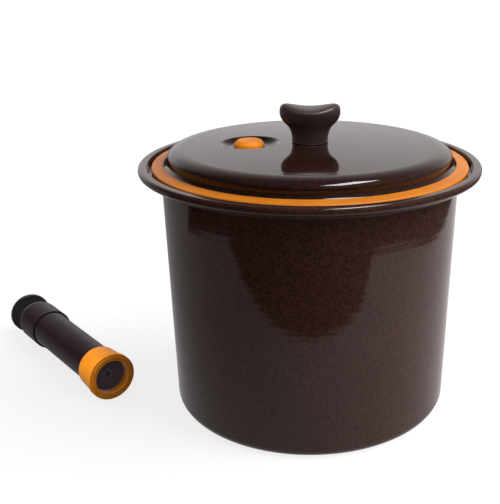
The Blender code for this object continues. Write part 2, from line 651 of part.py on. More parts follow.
def main():
    clear_scene()
    parts = new_collection("vacuum_storage_pot")
    helpers = new_collection("cutters")
    pot_body(parts)
    lid_shell(parts, helpers)
    lid_gasket(parts)
    knob_grip(parts, helpers)
    knob_fastening(parts, helpers)
    valve(parts)
    pump(parts, helpers)


main()
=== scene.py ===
"""Looks of the vacuum storage pot and its hand pump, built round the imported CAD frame.

Metres, +Z up, in the frame's own axes. Every visible piece is made from the same profiles as
the solids, only finer, with its small edges rounded. The valve's dish alone is shaped otherwise: it
is a smooth bowl here, as in the photograph.
"""

import json
import math

import bmesh
import bpy
import numpy as np
from mathutils import Matrix, Vector
from mathutils.geometry import delaunay_2d_cdt

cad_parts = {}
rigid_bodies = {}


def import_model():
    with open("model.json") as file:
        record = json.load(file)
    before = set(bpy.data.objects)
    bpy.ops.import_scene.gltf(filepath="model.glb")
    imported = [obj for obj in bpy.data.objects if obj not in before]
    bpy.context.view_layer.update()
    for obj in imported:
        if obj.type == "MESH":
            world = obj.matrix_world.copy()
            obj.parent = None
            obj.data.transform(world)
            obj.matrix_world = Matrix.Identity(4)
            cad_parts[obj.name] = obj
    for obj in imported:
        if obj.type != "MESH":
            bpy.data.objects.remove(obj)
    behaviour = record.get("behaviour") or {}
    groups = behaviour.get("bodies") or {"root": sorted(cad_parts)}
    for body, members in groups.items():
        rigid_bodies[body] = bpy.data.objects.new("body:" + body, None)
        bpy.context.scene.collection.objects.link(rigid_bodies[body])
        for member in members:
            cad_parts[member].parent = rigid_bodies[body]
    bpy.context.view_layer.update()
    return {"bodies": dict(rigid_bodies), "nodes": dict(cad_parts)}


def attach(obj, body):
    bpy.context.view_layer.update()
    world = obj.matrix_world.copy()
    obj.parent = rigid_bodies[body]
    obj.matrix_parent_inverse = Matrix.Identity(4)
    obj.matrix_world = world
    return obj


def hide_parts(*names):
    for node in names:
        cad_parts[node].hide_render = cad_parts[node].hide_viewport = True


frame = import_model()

# Camera, as fitted to the photograph: its image size, focal length and principal point in pixels
IMAGE_WIDTH = 500
IMAGE_HEIGHT = 504
FOCAL = 795.26
PRINCIPAL_X = 310
PRINCIPAL_Y = 285
CAMERA_BACK = 0.69568
CAMERA_HEIGHT = 0.39549
CAMERA_PITCH = 0.39262
SENSOR = 36.0

# Clearance, facets round turned pieces, and tolerances for points that fall together or lie in line
GAP = 0.0003
STEPS_WIDE = 256
STEPS_SMALL = 128
TINY = 1e-7
MERGE = 1e-6
STRAIGHT = 1e-3

# Stage: the floor, where the lights aim and how far off they stand
FLOOR_HALF = 40.0
FLOOR_DROP = GAP / 3
FLOOR_GREY = (0.30, 0.30, 0.30)
FLOOR_GLOW = 0.80
LIT_CENTRE = (0, 0, 0.2)
LIGHT_DISTANCE = 1.3
SOFTBOX_SIZE = (0.85, 0.27)
PUMP_CENTRE = (-0.25, 0.05, 0.02)
AMBIENT = 0.30

# What mirror-like surfaces see: the floor's levels and edges, each edge from dark to lit
WARM_WHITE = (1.0, 0.95, 0.955)
FLOOR_LEVELS = (0.33, 0.86)
FLOOR_LEVELS_X = (-0.35, 0.35)
FLOOR_DARKS = (0.012, 0.09)
FLOOR_DARKS_X = (-0.35, 0.45)
FRONT_EDGE_Y = (-0.360, -0.334)
FRONT_REACH = 0.08
FRONT_REACH_X = (0.20, 0.42)
LEFT_EDGE_X = (-0.645, -0.620)
LEFT_EDGE_END_Y = (0.06, 0.10)
RIGHT_EDGE_X = (0.600, 0.550)
SIDE_BEND = 1.45
SIDE_BEND_Y = -0.1

# What they see of the backdrop behind, as (height, level), and of the dim sides
BACKDROP_STOPS = ((0.0, 0.93), (0.31, 0.95), (0.358, 0.80), (0.469, 0.56), (0.545, 0.43),
                  (0.616, 0.34), (0.719, 0.19), (0.82, 0.10), (1.0, 0.07))
BACKDROP_BEHIND = (0.40, 0.85)
SIDE_LEVELS = (0.06, 0.28)
SIDE_LEVELS_X = (-0.5, 0.6)

# Enamel's colours
ENAMEL_DARK = (0.019, 0.0068, 0.0048)
ENAMEL_LIGHT = (0.073, 0.0285, 0.0210)
ENAMEL_CLOUD = (0.060, 0.0230, 0.0165)
ENAMEL_FLECK = (0.09, 0.052, 0.045)
ENAMEL_SPECK = (0.008, 0.004, 0.0035)

# Other finishes, each as the two colours that it clouds between
GASKET_ORANGES = ((0.86, 0.265, 0.012), (0.78, 0.225, 0.009))
BUTTON_ORANGES = ((0.98, 0.30, 0.010), (0.96, 0.28, 0.008))
MOUTH_ORANGES = ((0.86, 0.28, 0.008), (0.78, 0.24, 0.007))
SEAL_GREYS = ((0.55, 0.53, 0.50), (0.50, 0.48, 0.45))
GRIP_BROWNS = ((0.039, 0.022, 0.021), (0.030, 0.017, 0.016))
TUBE_BROWNS = ((0.0155, 0.0058, 0.0105), (0.0125, 0.0046, 0.0085))
PLATE_BROWNS = ((0.060, 0.028, 0.034), (0.048, 0.022, 0.028))
DISC_BLACKS = ((0.011, 0.009, 0.011), (0.008, 0.007, 0.008))
RUBBER_BLACKS = ((0.020, 0.020, 0.022), (0.015, 0.015, 0.017))
STEEL_GREYS = ((0.48, 0.47, 0.45), (0.60, 0.59, 0.57))

# Depths of relief: the enamel's waves, orange peel and grain, then the other finishes
WAVE_DEPTH = 0.00008
PEEL_DEPTH = 0.000003
GRAIN_DEPTH = 0.0000012
SILICONE_DEPTH = 0.00002
MOULDED_DEPTH = 0.00001
RUBBER_DEPTH = 0.00002
STEEL_DEPTH = 0.00001

# Rounds on small edges, and the short straight run between an arc and its wall
EDGE_HAIR = 0.0001
EDGE_CRISP = 0.0002
EDGE_FINE = 0.0003
EDGE_SMALL = 0.0004
EDGE_BROKEN = 0.0005
EDGE_EASED = 0.0007
EDGE_SOFT = 0.0008
EDGE_FULL = 0.0009
ARC_RUN = 0.001

# Pot
POT_TOP_R = 0.131
POT_FOOT_R = 0.1285
POT_WALL = 0.0035
POT_FLOOR = 0.0045
POT_FOOT_ROUND = 0.010
POT_INNER_ROUND = 0.007
LEDGE_Z = 0.2218
LEDGE_THICK = 0.0036
LEDGE_ROUND = 0.0012
NECK_FILLET = 0.005
SEAT_R = 0.1415
SEAT_ROUND = 0.001
RIM_INNER_R = 0.1429
RIM_R = 0.1503
RIM_Z = 0.2284
RIM_THICK = 0.0052
RIM_LIP_ROUND = 0.0008
RIM_UNDER_ROUND = 0.0015
RIM_ROUND_SLACK = GAP / 30

# Lid, then the rings in its plan: how far apart they stand and how many points they have
LID_WALL = 0.0032
DOME_R = 0.108
DOME_SAG = 0.0022
LID_EDGE_R = 0.1245
SKIRT_DRAFT = 0.0006
SKIRT_FILLET = 0.0042
FLANGE_R = 0.1358
FLANGE_Z = 0.2243
FLANGE_TOP_Z = 0.2273
LID_CROWN_Z = 0.2442
LID_EDGE_Z = 0.2355
SCREW_HOLE_R = 0.0034
DOME_FIRST_INSET = 0.0022
DOME_STEP = 0.0028
DOME_MIDDLE_R = 0.012
DOME_MIDDLE_STEP = 0.0025
DOME_LAST_R = 0.0045
POINT_SPACING = 0.003
FEWEST_POINTS = 32
SCREW_HOLE_POINTS = 32
VALVE_HOLE_POINTS = 48
LANDING_POINTS = 96
BOWL_POINTS = 160
SHOULDER_STEPS = 28
HOLLOW_STEPS = 16

# Gasket
GASKET_Z = 0.2221
GASKET_INNER_R = 0.1256
GASKET_HEEL_R = 0.1281
GASKET_HEEL = 0.0007
GASKET_HEEL_ROUND = 0.0006
GASKET_R = 0.1388
GASKET_LIP = 0.0008
GASKET_FALL = 0.0008
GASKET_ROUND = 0.0014

# Knob
KNOB_NECK_R = 0.0158
KNOB_HALF_WIDTH = 0.0265
KNOB_HALF_DEPTH = 0.018
KNOB_WIDEST = 0.025
KNOB_DIP = 0.0295
KNOB_LOBE_X = 0.0204
KNOB_LOBE_RISE = 0.0048
KNOB_HEIGHT_SHARES = (0, 0.10, 0.24, 0.37, 0.47, 0.55, 0.62, 0.69, 0.76, 0.86, 1)
KNOB_FLARE_SHARES = (0.02, 0, 0.03, 0.11, 0.21, 0.34, 0.50, 0.67, 0.80, 0.92, 1)
KNOB_BORE_R = 0.0028
KNOB_BORE_DEPTH = 0.0143
KNOB_BORE_CHAMFER = 0.0003
KNOB_FOOT_ROUND = 0.0005
KNOB_STEPS = 144
KNOB_ROWS = 60
KNOB_FOOT_ROWS = 4
KNOB_TOP_ROWS = 28
KNOB_BULGE_POWER = 2 / 3

# Valve and its dished seat
VALVE_X = -0.0535
DISH_R = 0.0255
DISH_DEPTH = 0.0046
LANDING_R = 0.0141
LANDING_RISE = 0.0003
DISH_PLATE = 0.003
DISH_PAD_R = 0.0262
DISH_PAD_FLARE = 0.0033
DISH_PAD_TOP = 0.0016
DISH_BLEND_R = 0.031
DISH_BLEND = 0.0012
PAD_BLEND = 0.0005
BOWL_RISE_SHARE = 0.94
BOWL_POWER = 2.2
SEAT_FIRST_R = 0.0058
SEAT_STEP = 0.0018
LANDING_EDGE = 0.0002
BOWL_STEP = 0.0006
BOWL_OVERRUN = 0.0018
BLEND_STEP = 0.0009
BLEND_CLEAR = 0.0008
FINE_RING_INSET = 0.001
VALVE_HOLE_R = 0.0042
BUTTON_R = 0.0133
BUTTON_TOP_R = 0.0104
BUTTON_HEIGHT = 0.0065
BUTTON_SKIRT = 0.0034
BUTTON_TOP_ROUND = 0.0026
BUTTON_SIDE_ROUND = 0.0020
BUTTON_RECESS_R = 0.0102
VALVE_STEM_R = 0.003
VALVE_GROOVE_R = 0.0023
VALVE_LIFT = 0.003
VALVE_SEAL_THICK = 0.0012
RETAINER_THICK = 0.0016
VALVE_STEM_END = 0.001

# Pump: where it lies, then its stations along the axis from the mouth
PUMP_MOUTH_X = -0.1885
PUMP_MOUTH_Y = -0.0275
PUMP_TURN = math.radians(50)
MOUTH_BORE_R = 0.0166
MOUTH_RECESS = 0.009
MOUTH_FACE_R = 0.0208
MOUTH_FACE_STEP = 0.0004
MOUTH_LIP_R = 0.0232
MOUTH_LIP = 0.006
MOUTH_STEP = 0.0008
MOUTH_BACK_R = 0.0208
MOUTH_LENGTH = 0.03
BARREL_R = 0.0188
SOCKET_R = BARREL_R + GAP
BARREL_BORE_R = 0.0168
BARREL_S = 0.0121
BARREL_END = 0.1661
CAP_R = 0.0212
CAP_S = 0.1396
CAP_SHOULDER_S = 0.1664
CAP_DOME_S = 0.1724
CAP_DOME = 0.013
CAP_DOME_STEPS = 24
CAP_INNER_R = 0.0155
CAP_INNER_ROUND = 0.001
NOSE_R = 0.0095
NOSE_LIP = 0.002
NOSE_END = 0.1854
BUSH_R = 0.0085
BUSH_S = 0.1757
ROD_R = 0.0055
ROD_HOLE_R = 0.006
ROD_S = 0.0238
ROD_END = 0.1996
ROD_BORE_R = 0.0023
ROD_BORE_DEPTH = 0.0135
DISC_R = 0.0215
DISC_S = 0.1959
DISC_END = 0.2019
DISC_EDGE = 0.001
DISC_DISH = 0.0012
DISC_DISH_ROUND = 0.004
HUB_R = 0.008
HUB_ROUND = 0.0012
HUB_LENGTH = 0.0025
DISC_BORE_DEPTH = 0.004


# Node trees

def add(tree, kind, inputs=None, **settings):
    """A node with its settings, its sockets set to numbers or linked to other nodes' sockets."""
    made = tree.nodes.new(kind)
    for key, value in settings.items():
        setattr(made, key, value)
    for socket, value in (inputs or {}).items():
        if isinstance(value, bpy.types.NodeSocket):
            tree.links.new(value, made.inputs[socket])
        else:
            made.inputs[socket].default_value = value
    return made


def maths(tree, operation, a, b=0.0, clamp=False):
    return add(tree, "ShaderNodeMath", {0: a, 1: b}, operation=operation, use_clamp=clamp).outputs[0]


def smooth_step(tree, value, low, high):
    """0 below low and 1 above high, with a smooth rise between them."""
    inputs = {"Value": value, "From Min": low, "From Max": high}
    return add(tree, "ShaderNodeMapRange", inputs, interpolation_type="SMOOTHSTEP").outputs["Result"]


def mixed(tree, factor, a, b):
    """One number between a and b."""
    return add(tree, "ShaderNodeMix", {0: factor, 2: a, 3: b}, data_type="FLOAT").outputs[0]


def blended(tree, factor, a, b):
    """One colour between a and b, each a socket or a plain colour."""
    ends = [end if isinstance(end, bpy.types.NodeSocket) else (*end, 1) for end in (a, b)]
    return add(tree, "ShaderNodeMix", {0: factor, 6: ends[0], 7: ends[1]}, data_type="RGBA").outputs[2]


def ramp(tree, factor, stops):
    """A grey ramp through (position, level) stops."""
    made = add(tree, "ShaderNodeValToRGB", {"Fac": factor})
    elements = made.color_ramp.elements
    for index, (position, level) in enumerate(stops):
        element = elements[index] if index < 2 else elements.new(position)
        element.position = position
        element.color = (level, level, level, 1)
    return made.outputs["Color"]


def place(tree, scale=(1, 1, 1)):
    """The piece's own coordinates in metres, stretched by scale."""
    coordinates = add(tree, "ShaderNodeTexCoord").outputs["Object"]
    return add(tree, "ShaderNodeMapping", {"Vector": coordinates, "Scale": scale}).outputs["Vector"]


def noise(tree, scale, detail=2.0, roughness=0.5, stretch=(1, 1, 1)):
    inputs = {"Vector": place(tree, stretch), "Scale": scale, "Detail": detail, "Roughness": roughness}
    return add(tree, "ShaderNodeTexNoise", inputs).outputs["Fac"]


def bump(tree, height, distance, strength=1.0, normal=None):
    inputs = {"Height": height, "Distance": distance, "Strength": strength}
    if normal:
        inputs["Normal"] = normal
    return add(tree, "ShaderNodeBump", inputs).outputs["Normal"]


def new_material(name):
    made = bpy.data.materials.new(name)
    made.use_nodes = True
    return made, made.node_tree, made.node_tree.nodes["Principled BSDF"]


def link(tree, shader, **sockets):
    """Links values to the shader's sockets, whose names have underscores here in place of spaces."""
    for name, value in sockets.items():
        tree.links.new(value, shader.inputs[name.replace("_", " ")])


# Materials

def enamel(name, tone):
    """Glossy dark brown enamel: fine speckle under the glaze and a faint waviness of its surface."""
    made, tree, shader = new_material(name)

    def shade(colour):
        return tuple(part * tone for part in colour)

    grain = noise(tree, scale=900, detail=3, roughness=0.6)
    cloud = noise(tree, scale=260, detail=3)
    base = blended(tree, smooth_step(tree, grain, 0.36, 0.68), shade(ENAMEL_DARK), shade(ENAMEL_LIGHT))
    base = blended(tree, smooth_step(tree, cloud, 0.42, 0.70), base, shade(ENAMEL_CLOUD))
    cells = add(tree, "ShaderNodeTexVoronoi", {"Vector": place(tree), "Scale": 230}, feature="F1")
    near = smooth_step(tree, cells.outputs["Distance"], 0.20, 0.08)
    chosen = add(tree, "ShaderNodeSeparateColor", {"Color": cells.outputs["Color"]}).outputs["Red"]
    fleck = maths(tree, "MULTIPLY", near, smooth_step(tree, chosen, 0.80, 0.95))
    base = blended(tree, fleck, base, shade(ENAMEL_FLECK))
    specks = add(tree, "ShaderNodeTexVoronoi", {"Vector": place(tree), "Scale": 410}, feature="F1")
    dark = smooth_step(tree, specks.outputs["Distance"], 0.26, 0.12)
    picked = add(tree, "ShaderNodeSeparateColor", {"Color": specks.outputs["Color"]}).outputs["Green"]
    speck = maths(tree, "MULTIPLY", dark, smooth_step(tree, picked, 0.74, 0.90))
    base = blended(tree, speck, base, shade(ENAMEL_SPECK))
    gloss = mixed(tree, noise(tree, scale=35, detail=3), 0.045, 0.085)
    waves = noise(tree, scale=10, detail=2, roughness=0.5, stretch=(1, 1, 22))
    peel = noise(tree, scale=160, detail=1)
    surface = bump(tree, waves, WAVE_DEPTH)
    surface = bump(tree, peel, PEEL_DEPTH, normal=surface)
    surface = bump(tree, grain, GRAIN_DEPTH, normal=surface)
    link(tree, shader, Base_Color=base, Roughness=gloss, Normal=surface)
    shader.inputs["IOR"].default_value = 1.42
    return made


def silicone(name, colours, rough, specular=0.5):
    """Satin coloured silicone: faint clouding, a fine moulding texture and a slightly uneven gloss."""
    made, tree, shader = new_material(name)
    cloud = noise(tree, scale=45, detail=3)
    base = blended(tree, smooth_step(tree, cloud, 0.3, 0.7), *colours)
    dust = noise(tree, scale=1500, detail=2)
    gloss = mixed(tree, noise(tree, scale=120, detail=2), rough - 0.05, rough + 0.06)
    relief = bump(tree, dust, SILICONE_DEPTH, strength=0.6)
    link(tree, shader, Base_Color=base, Roughness=gloss, Normal=relief)
    shader.inputs["IOR"].default_value = 1.42
    shader.inputs["Specular IOR Level"].default_value = specular
    return made


def plastic(name, colours, rough, depth=MOULDED_DEPTH, specular=0.5):
    """Moulded plastic with a fine grain, slightly uneven gloss and faint clouding."""
    made, tree, shader = new_material(name)
    cloud = noise(tree, scale=70, detail=3)
    base = blended(tree, smooth_step(tree, cloud, 0.25, 0.75), *colours)
    gloss = mixed(tree, noise(tree, scale=90, detail=4), rough - 0.05, rough + 0.07)
    grain = noise(tree, scale=1100, detail=3)
    link(tree, shader, Base_Color=base, Roughness=gloss, Normal=bump(tree, grain, depth, strength=0.7))
    shader.inputs["IOR"].default_value = 1.46
    shader.inputs["Specular IOR Level"].default_value = specular
    return made


def steel():
    """Stainless steel with fine turning marks."""
    made, tree, shader = new_material("steel_turned")
    marks = noise(tree, scale=900, detail=3, roughness=0.6, stretch=(1, 1, 6))
    base = blended(tree, marks, *STEEL_GREYS)
    gloss = mixed(tree, marks, 0.22, 0.36)
    link(tree, shader, Base_Color=base, Roughness=gloss, Normal=bump(tree, marks, STEEL_DEPTH))
    shader.inputs["Metallic"].default_value = 1.0
    return made


def floor_material():
    """Pale floor. Mirror-like surfaces see it paler to the right, and dark beyond an edge in front
    and curved edges on both sides, of which the left one ends beside the pot."""
    made, tree, shader = new_material("floor_pale")
    tree.nodes.remove(shader)
    path = add(tree, "ShaderNodeLightPath").outputs
    parts = add(tree, "ShaderNodeSeparateXYZ", {"Vector": place(tree)}).outputs
    x, y = parts["X"], parts["Y"]
    level = mixed(tree, smooth_step(tree, x, *FLOOR_LEVELS_X), *FLOOR_LEVELS)
    reach = mixed(tree, smooth_step(tree, x, *FRONT_REACH_X), 0.0, FRONT_REACH)
    front = smooth_step(tree, maths(tree, "ADD", y, reach), *FRONT_EDGE_Y)
    nearer = maths(tree, "MAXIMUM", maths(tree, "SUBTRACT", SIDE_BEND_Y, y), 0.0)
    bend = maths(tree, "MULTIPLY", maths(tree, "MULTIPLY", nearer, nearer), SIDE_BEND)
    left = smooth_step(tree, maths(tree, "SUBTRACT", x, bend), *LEFT_EDGE_X)
    left = maths(tree, "MAXIMUM", left, smooth_step(tree, y, *LEFT_EDGE_END_Y))
    right = smooth_step(tree, maths(tree, "ADD", x, bend), *RIGHT_EDGE_X)
    lit = maths(tree, "MULTIPLY", maths(tree, "MULTIPLY", front, left), right)
    dark = mixed(tree, smooth_step(tree, x, *FLOOR_DARKS_X), *FLOOR_DARKS)
    pattern = mixed(tree, lit, dark, level)
    diffuse = add(tree, "ShaderNodeBsdfDiffuse", {"Color": (*FLOOR_GREY, 1)}).outputs[0]
    direct = maths(tree, "MAXIMUM", path["Is Camera Ray"], path["Is Transmission Ray"])
    glow = maths(tree, "MULTIPLY", direct, FLOOR_GLOW)
    glow = add(tree, "ShaderNodeEmission", {"Strength": glow}).outputs[0]
    plain = add(tree, "ShaderNodeAddShader", {0: diffuse, 1: glow}).outputs[0]
    mirrored = add(tree, "ShaderNodeEmission", {"Color": (*WARM_WHITE, 1), "Strength": pattern}).outputs[0]
    both = add(tree, "ShaderNodeMixShader", {0: path["Is Glossy Ray"], 1: plain, 2: mirrored}).outputs[0]
    output = next(node for node in tree.nodes if node.type == "OUTPUT_MATERIAL")
    tree.links.new(both, output.inputs["Surface"])
    return made


def world():
    """Soft even light. Glossy surfaces see a white backdrop behind that fades upwards, and dim sides."""
    made = bpy.data.worlds.new("studio")
    made.use_nodes = True
    bpy.context.scene.world = made
    tree = made.node_tree
    path = add(tree, "ShaderNodeLightPath").outputs
    coordinates = add(tree, "ShaderNodeTexCoord").outputs["Generated"]
    parts = add(tree, "ShaderNodeSeparateXYZ", {"Vector": coordinates}).outputs
    rise = ramp(tree, parts["Z"], BACKDROP_STOPS)
    flat = maths(tree, "SQRT", maths(tree, "SUBTRACT", 1.0, maths(tree, "MULTIPLY", parts["Z"], parts["Z"])))
    behind = maths(tree, "DIVIDE", parts["Y"], maths(tree, "MAXIMUM", flat, 0.001))
    behind = smooth_step(tree, behind, *BACKDROP_BEHIND)
    sides = mixed(tree, smooth_step(tree, parts["X"], *SIDE_LEVELS_X), *SIDE_LEVELS)
    level = mixed(tree, behind, sides, rise)
    level = mixed(tree, path["Is Glossy Ray"], AMBIENT, level)
    pure = maths(tree, "MAXIMUM", path["Is Camera Ray"], path["Is Transmission Ray"])
    level = mixed(tree, pure, level, 1.0)
    background = tree.nodes["Background"]
    tint = blended(tree, path["Is Glossy Ray"], (1, 1, 1), WARM_WHITE)
    tree.links.new(tint, background.inputs["Color"])
    tree.links.new(level, background.inputs["Strength"])


# Stage

def camera():
    data = bpy.data.cameras.new("photograph_view")
    data.sensor_width = SENSOR
    data.lens = FOCAL / IMAGE_HEIGHT * SENSOR
    data.shift_x = (IMAGE_WIDTH / 2 - PRINCIPAL_X) / IMAGE_HEIGHT
    data.shift_y = (PRINCIPAL_Y - IMAGE_HEIGHT / 2) / IMAGE_HEIGHT
    made = bpy.data.objects.new("photograph_view", data)
    made.location = (0, -CAMERA_BACK, CAMERA_HEIGHT)
    made.rotation_euler = (math.pi / 2 - CAMERA_PITCH, 0, 0)
    bpy.context.scene.collection.objects.link(made)
    bpy.context.scene.camera = made


def towards(azimuth, elevation, distance, target):
    """A point seen from target at that azimuth, from +Y towards +X, and elevation."""
    a, e = math.radians(azimuth), math.radians(elevation)
    way = Vector((math.sin(a) * math.cos(e), math.cos(a) * math.cos(e), math.sin(e)))
    return Vector(target) + way * distance


def aim(obj, location, target):
    obj.location = location
    obj.rotation_euler = (Vector(target) - Vector(location)).to_track_quat("-Z", "Y").to_euler()


def only_glossy(obj):
    obj.visible_camera = False
    obj.visible_diffuse = False
    obj.visible_shadow = False
    obj.visible_transmission = False
    obj.visible_volume_scatter = False


def flat_panel(name, half_x, half_y, surface):
    """A flat rectangle in the scene, centred on its origin."""
    mesh = bpy.data.meshes.new(name)
    corners = [(-half_x, -half_y, 0), (half_x, -half_y, 0), (half_x, half_y, 0), (-half_x, half_y, 0)]
    mesh.from_pydata(corners, [], [(0, 1, 2, 3)])
    mesh.materials.append(surface)
    obj = bpy.data.objects.new(name, mesh)
    bpy.context.scene.collection.objects.link(obj)
    return obj


def card(name, size, location, target, strength):
    """A glowing panel that only reflections show, as a softbox does. It isn't part of the object."""
    made, _, shader = new_material(name)
    shader.inputs["Base Color"].default_value = (0, 0, 0, 1)
    shader.inputs["Specular IOR Level"].default_value = 0
    shader.inputs["Emission Color"].default_value = (*WARM_WHITE, 1)
    shader.inputs["Emission Strength"].default_value = strength
    obj = flat_panel(name, size[0] / 2, size[1] / 2, made)
    aim(obj, location, target)
    only_glossy(obj)


def sunlight(name, strength, width, location, target, only=None):
    """Even light from one direction, as soft as a panel of that width in degrees. Reflections don't
    show it. It lights everything, or only the objects of a collection."""
    data = bpy.data.lights.new(name, "SUN")
    data.energy = strength
    data.angle = math.radians(width)
    obj = bpy.data.objects.new(name, data)
    bpy.context.scene.collection.objects.link(obj)
    aim(obj, location, target)
    obj.visible_glossy = False
    if only:
        obj.light_linking.receiver_collection = only


def own_light(name, pieces, strength, width, azimuth, elevation, centre):
    """A light that falls on these pieces alone."""
    group = bpy.data.collections.new(f"{name}_lit")
    for obj in pieces:
        group.objects.link(obj)
    location = towards(azimuth, elevation, LIGHT_DISTANCE, centre)
    sunlight(f"{name}_key", strength, width, location, centre, group)


def own_lights():
    """The pump lies in the pot's shadow, so it gets a key light of its own, and the pot doesn't mirror
    it. The button's side, low in its dish, gets a fill light from the front, and the knob's head one
    from above."""
    pump_pieces = [obj for body in ("pump", "plunger") for obj in frame["bodies"][body].children]
    for obj in pump_pieces:
        obj.visible_glossy = False
    own_light("pump", pump_pieces, strength=2.9, width=50, azimuth=250, elevation=55, centre=PUMP_CENTRE)
    own_light("button", [bpy.data.objects["valve_knob"]], strength=1.1, width=40, azimuth=190, elevation=22,
              centre=(VALVE_X, 0, LID_CROWN_Z))
    own_light("knob", [bpy.data.objects["saddle_knob"]], strength=2.0, width=30, azimuth=245, elevation=62,
              centre=(0, 0, LID_CROWN_Z))


def stage():
    bpy.context.scene.view_settings.view_transform = "Standard"
    camera()
    world()
    floor = flat_panel("floor", FLOOR_HALF, FLOOR_HALF, floor_material())
    floor.location.z = -FLOOR_DROP
    overhead = towards(azimuth=105, elevation=73, distance=LIGHT_DISTANCE, target=LIT_CENTRE)
    card("softbox", SOFTBOX_SIZE, overhead, LIT_CENTRE, strength=20.0)
    right = towards(azimuth=95, elevation=33, distance=LIGHT_DISTANCE, target=LIT_CENTRE)
    sunlight("key", strength=3.6, width=60, location=right, target=LIT_CENTRE)


# Shapes

def rounded(corners, closed=False, points=6):
    """The corners (r, z, radius) of an outline as points, each corner replaced by an arc of its radius."""
    made = []
    count = len(corners)
    for i, corner in enumerate(corners):
        here = np.array(corner[:2], float)
        radius = corner[2] if len(corner) > 2 else 0
        if not radius or (not closed and i in (0, count - 1)):
            made.append(tuple(here))
            continue
        before = np.array(corners[i - 1][:2], float) - here
        after = np.array(corners[(i + 1) % count][:2], float) - here
        before /= np.linalg.norm(before)
        after /= np.linalg.norm(after)
        half = math.acos(max(-1.0, min(1.0, float(before @ after)))) / 2
        if math.pi / 2 - half < STRAIGHT:
            made.append(tuple(here))
            continue
        bisector = (before + after) / np.linalg.norm(before + after)
        centre = here + bisector * radius / math.sin(half)
        start = here + before * radius / math.tan(half) - centre
        end = here + after * radius / math.tan(half) - centre
        sweep = math.pi - 2 * half
        sign = 1 if start[0] * end[1] - start[1] * end[0] > 0 else -1
        for k in range(points + 1):
            turn = sign * sweep * k / points
            c, s = math.cos(turn), math.sin(turn)
            made.append((centre[0] + start[0] * c - start[1] * s, centre[1] + start[0] * s + start[1] * c))
    return made


def arc(centre, radius, start, end, points, squash=1.0):
    """Points on an arc of the profile plane, angles in degrees from +r towards +z."""
    turns = [math.radians(start + (end - start) * i / points) for i in range(points + 1)]
    return [(centre[0] + radius * math.cos(a), centre[1] + radius * squash * math.sin(a)) for a in turns]


def finished(name, shape, surface, body, nodes):
    """Makes a bmesh an object, smooth shaded, riding on its body in place of its CAD nodes."""
    bmesh.ops.remove_doubles(shape, verts=shape.verts, dist=MERGE)
    bmesh.ops.recalc_face_normals(shape, faces=shape.faces)
    mesh = bpy.data.meshes.new(name)
    shape.to_mesh(mesh)
    shape.free()
    mesh.shade_smooth()
    mesh.materials.append(surface)
    obj = bpy.data.objects.new(name, mesh)
    bpy.context.scene.collection.objects.link(obj)
    obj.modifiers.new("Shading", "WEIGHTED_NORMAL")
    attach(obj, body)
    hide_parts(*nodes)


def all_round(count):
    """Evenly spaced angles round a full turn."""
    return [2 * math.pi * i / count for i in range(count)]


def lathe(shape, profile, steps, closed, matrix=Matrix.Identity(4)):
    """Turns a profile of (r, z) points round Z into faces and returns its rings. Points on the axis
    become one vertex."""
    rings = []
    for r, z in profile:
        if r < TINY:
            rings.append([shape.verts.new(matrix @ Vector((0, 0, z)))])
            continue
        spots = [Vector((r * math.cos(a), r * math.sin(a), z)) for a in all_round(steps)]
        rings.append([shape.verts.new(matrix @ spot) for spot in spots])
    pairs = list(zip(rings, rings[1:]))
    if closed:
        pairs.append((rings[-1], rings[0]))
    for low, high in pairs:
        bridge(shape, low, high)
    return rings


def bridge(shape, low, high):
    """Faces between two rings of vertices, or between a ring and a single vertex."""
    if len(low) == 1 and len(high) == 1:
        return
    steps = max(len(low), len(high))
    for i in range(steps):
        j = (i + 1) % steps
        if len(low) == 1:
            shape.faces.new((low[0], high[i], high[j]))
        elif len(high) == 1:
            shape.faces.new((low[i], low[j], high[0]))
        else:
            shape.faces.new((low[i], low[j], high[j], high[i]))


def turned(name, profile, steps, surface, body, nodes, closed=True, matrix=Matrix.Identity(4)):
    """A piece made of nothing but a turned profile."""
    shape = bmesh.new()
    lathe(shape, profile, steps, closed, matrix)
    finished(name, shape, surface, body, nodes)


def along(start, end, step):
    """Evenly spaced numbers from start to just before end, no further apart than step."""
    count = max(1, math.ceil(abs(end - start) / step))
    return [start + (end - start) * i / count for i in range(count)]


# Pot and lid

def pot(surface):
    """The vessel, from the middle of its inside up over the seat and rim and down to its foot."""
    inner_foot = POT_FOOT_R - POT_WALL
    inner_top = POT_TOP_R - POT_WALL
    neck_z = LEDGE_Z - LEDGE_THICK
    rim_round = RIM_THICK / 2 - RIM_ROUND_SLACK
    corners = [(0, POT_FLOOR), (inner_foot, POT_FLOOR, POT_INNER_ROUND), (inner_top, LEDGE_Z, LEDGE_ROUND)]
    corners += [(SEAT_R, LEDGE_Z, SEAT_ROUND), (RIM_INNER_R, RIM_Z, RIM_LIP_ROUND), (RIM_R, RIM_Z, rim_round)]
    corners += [(RIM_R, RIM_Z - RIM_THICK, rim_round), (RIM_INNER_R, neck_z, RIM_UNDER_ROUND)]
    corners += [(POT_TOP_R, neck_z, NECK_FILLET), (POT_FOOT_R, 0, POT_FOOT_ROUND), (0, 0)]
    profile = rounded(corners, points=10)
    turned("enamelled_pot", profile, STEPS_WIDE, surface, "pot", ["pot_body"], closed=False)


def dome_z(radius):
    return LID_CROWN_Z - DOME_SAG * (radius / DOME_R) ** 2


def soft_min(a, b, blend):
    """The lower of two heights, with a rounded change from one to the other."""
    h = min(1.0, max(0.0, 0.5 + 0.5 * (b - a) / blend))
    return b + (a - b) * h - blend * h * (1 - h)


